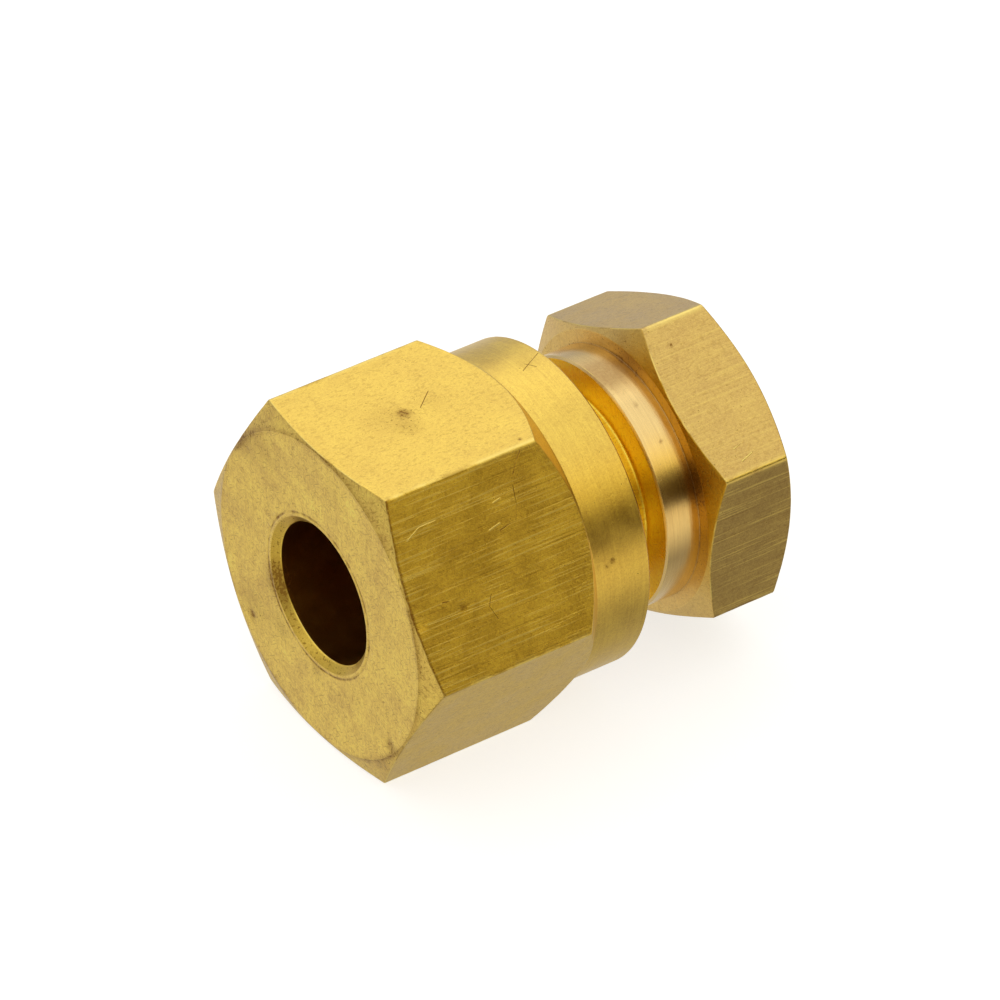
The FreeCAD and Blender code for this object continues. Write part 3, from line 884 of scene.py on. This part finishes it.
def plain_floor():
    """Matt white paper with a faint grain."""
    shader = Shader("floor_white")
    where = shader.add("ShaderNodeTexCoord").outputs["Object"]
    shade = shader.spread(shader.grain(where, 40, 3.0), 0.3, 0.7)
    colour = shader.tint(shade, (0.47, 0.47, 0.47), (0.50, 0.50, 0.50))
    shader.tree.links.new(colour, shader.metal.inputs["Base Color"])
    shader.metal.inputs["Roughness"].default_value = 0.9
    shader.metal.inputs["Specular IOR Level"].default_value = 0.1
    shader.metal.inputs["Emission Color"].default_value = (1, 1, 1, 1)
    shader.metal.inputs["Emission Strength"].default_value = 0.72
    return shader.material


# --- pieces --------------------------------------------------------------------------------

LIGHT_BRASS = (1.0, 0.78, 0.22)
# Pale brass of polished faces, partly a painted highlight on the nut's rim and the collar.
PALE_BRASS = (0.93, 0.67, 0.28)
# Painted shade on the shaded side of the body's hexagon face.
PAINTED_SHADE_AMBER = (0.62, 0.34, 0.01)
BORE_BROWN = (0.33, 0.12, 0.016)

nut = make_nut()
nut.data.materials.append(brass(
    "nut_brass",
    bright=(0.88, 0.61, 0.125),
    flat=(0.90, 0.61, 0.085),
    recess=(1.0, 0.70, 0.05),
    stain_and_shade=(0.20, 0.07, 0.008),
    roughness=0.33,
    light_lines=BRIGHT_SCRATCHES,
    dark_lines=DARK_SCRATCHES,
))
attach(nut, "nut")
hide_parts("compression_nut")

body = make_body()
body.data.materials.append(brass(
    "body_brass",
    bright=(0.82, 0.56, 0.18),
    flat=(0.49, 0.34, 0.105),
    recess=(1.0, 0.72, 0.09),
    stain_and_shade=(0.18, 0.06, 0.008),
    roughness=0.30,
    light_lines=BODY_SCRATCHES,
))
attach(body, "fitting_body")
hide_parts("fitting_body")

olive = make_olive()
olive.data.materials.append(brass(
    "olive_brass",
    bright=(0.90, 0.66, 0.22),
    flat=(0.90, 0.66, 0.22),
    recess=(0.90, 0.60, 0.12),
    stain_and_shade=(0.14, 0.07, 0.02),
    roughness=0.28,
))
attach(olive, "olive")
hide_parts("olive")


# --- floor, light and camera ---------------------------------------------------------------

FLOOR_SIZE = 3.0

# The side that the dark room lies on, and where it begins and ends along that direction.
ROOM_SIDE = (0.48, -0.88, 0.0)
ROOM_EDGE = (-0.3, 0.6)

# Light from heights between straight down, -1, and straight up, 1.
BACK_LIGHT = (
    (-1.0, (0.55, 0.53, 0.49)),
    (-0.4, (0.81, 0.80, 0.78)),
    (-0.1, (0.56, 0.56, 0.59)),
    (0.0, (0.44, 0.45, 0.51)),
    (0.22, (0.50, 0.50, 0.52)),
    (0.50, (0.88, 0.87, 0.86)),
    (1.0, (0.94, 0.94, 0.93)),
)
FRONT_LIGHT = (
    (-1.0, (0.44, 0.42, 0.38)),
    (-0.85, (0.42, 0.40, 0.36)),
    (-0.7, (0.28, 0.26, 0.23)),
    (-0.34, (0.88, 0.80, 0.62)),
    (-0.1, (0.80, 0.70, 0.50)),
    (-0.02, (0.055, 0.032, 0.006)),
    (0.36, (0.07, 0.045, 0.012)),
    (0.46, (1.02, 0.86, 0.32)),
    (0.62, (1.06, 0.96, 0.62)),
    (0.80, (0.96, 0.95, 0.93)),
)

# The camera: azimuth, elevation and roll in degrees, aim in millimetres, distance in metres.
CAMERA_TURN = (-35.715, 36.913, 0.793)
CAMERA_AIM = (-6.318, -3.064, 4.213)
CAMERA_DISTANCE = 0.42794
LENS = 288
SENSOR_WIDTH = 36


def make_floor():
    """A large level floor under the body's lowest corner."""
    half = FLOOR_SIZE / 2
    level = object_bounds()[0].z
    outline = ((-half, -half), (half, -half), (half, half), (-half, half))
    corners = [(x, y, level) for x, y in outline]
    mesh = bpy.data.meshes.new("floor")
    mesh.from_pydata(corners, [], [(0, 1, 2, 3)])
    mesh.materials.append(plain_floor())
    floor = bpy.data.objects.new("floor", mesh)
    bpy.context.scene.collection.objects.link(floor)
    floor.visible_glossy = False


def direction_at(azimuth, elevation):
    """The way from the fitting to a place. Azimuth 0 is in front and 90 on the right."""
    turn = math.radians(azimuth)
    rise = math.radians(elevation)
    level = math.cos(rise)
    return Vector((math.sin(turn) * level, -math.cos(turn) * level, math.sin(rise)))


def add_softbox(name, azimuth, elevation, distance, width, height, watts):
    """An area light aimed at the fitting."""
    lamp = bpy.data.lights.new(name, "AREA")
    lamp.shape = "RECTANGLE"
    lamp.size = width
    lamp.size_y = height
    lamp.energy = watts
    light = bpy.data.objects.new(name, lamp)
    away = direction_at(azimuth, elevation)
    light.location = away * distance
    light.rotation_euler = away.to_track_quat("Z", "Y").to_euler()
    bpy.context.scene.collection.objects.link(light)


def height_ramp(tree, height, stops):
    """A colour that changes with height. stops are heights from -1 to 1 and colours."""
    ramp = tree.nodes.new("ShaderNodeValToRGB")
    places = ramp.color_ramp.elements
    while len(places) < len(stops):
        places.new(0.5)
    for place, (level, colour) in zip(places, stops):
        place.position = (level + 1) / 2
        place.color = (*colour, 1)
    tree.links.new(height, ramp.inputs[0])
    return ramp.outputs[0]


def make_world():
    """A studio: bright ceiling, cool walls behind, a dark room in front, light ground."""
    world = bpy.data.worlds.new("studio")
    world.use_nodes = True
    tree = world.node_tree
    direction = tree.nodes.new("ShaderNodeTexCoord").outputs["Generated"]
    parts = tree.nodes.new("ShaderNodeSeparateXYZ")
    height = tree.nodes.new("ShaderNodeMapRange")
    height.inputs["From Min"].default_value = -1.0
    towards = tree.nodes.new("ShaderNodeVectorMath")
    towards.operation = "DOT_PRODUCT"
    towards.inputs[1].default_value = ROOM_SIDE
    front = tree.nodes.new("ShaderNodeMapRange")
    front.interpolation_type = "SMOOTHSTEP"
    front.inputs["From Min"].default_value = ROOM_EDGE[0]
    front.inputs["From Max"].default_value = ROOM_EDGE[1]
    both = tree.nodes.new("ShaderNodeMix")
    both.data_type = "RGBA"
    links = tree.links
    links.new(direction, parts.inputs[0])
    links.new(parts.outputs[2], height.inputs["Value"])
    links.new(direction, towards.inputs[0])
    links.new(towards.outputs["Value"], front.inputs["Value"])
    links.new(front.outputs[0], both.inputs[0])
    links.new(height_ramp(tree, height.outputs[0], BACK_LIGHT), both.inputs[MIX_FIRST])
    links.new(height_ramp(tree, height.outputs[0], FRONT_LIGHT), both.inputs[MIX_SECOND])
    links.new(both.outputs[MIX_RESULT], tree.nodes["Background"].inputs[0])
    bpy.context.scene.world = world


def make_camera():
    """The camera, above and to the left of the nut's open face."""
    azimuth, elevation, roll = CAMERA_TURN
    camera_data = bpy.data.cameras.new("camera")
    camera_data.lens = LENS
    camera_data.sensor_width = SENSOR_WIDTH
    camera_data.clip_start = 0.01
    camera_data.clip_end = 20
    camera = bpy.data.objects.new("camera", camera_data)
    away = direction_at(azimuth, elevation)
    camera.location = Vector(CAMERA_AIM) * MM + away * CAMERA_DISTANCE
    camera.rotation_euler = away.to_track_quat("Z", "Y").to_euler()
    camera.rotation_euler.rotate_axis("Z", math.radians(roll))
    bpy.context.scene.collection.objects.link(camera)
    bpy.context.scene.camera = camera


make_floor()
make_world()
add_softbox(
    "back_softbox", azimuth=150, elevation=45, distance=0.9, width=0.8, height=0.8, watts=0.5)
make_camera()
bpy.context.scene.view_settings.view_transform = "Standard"
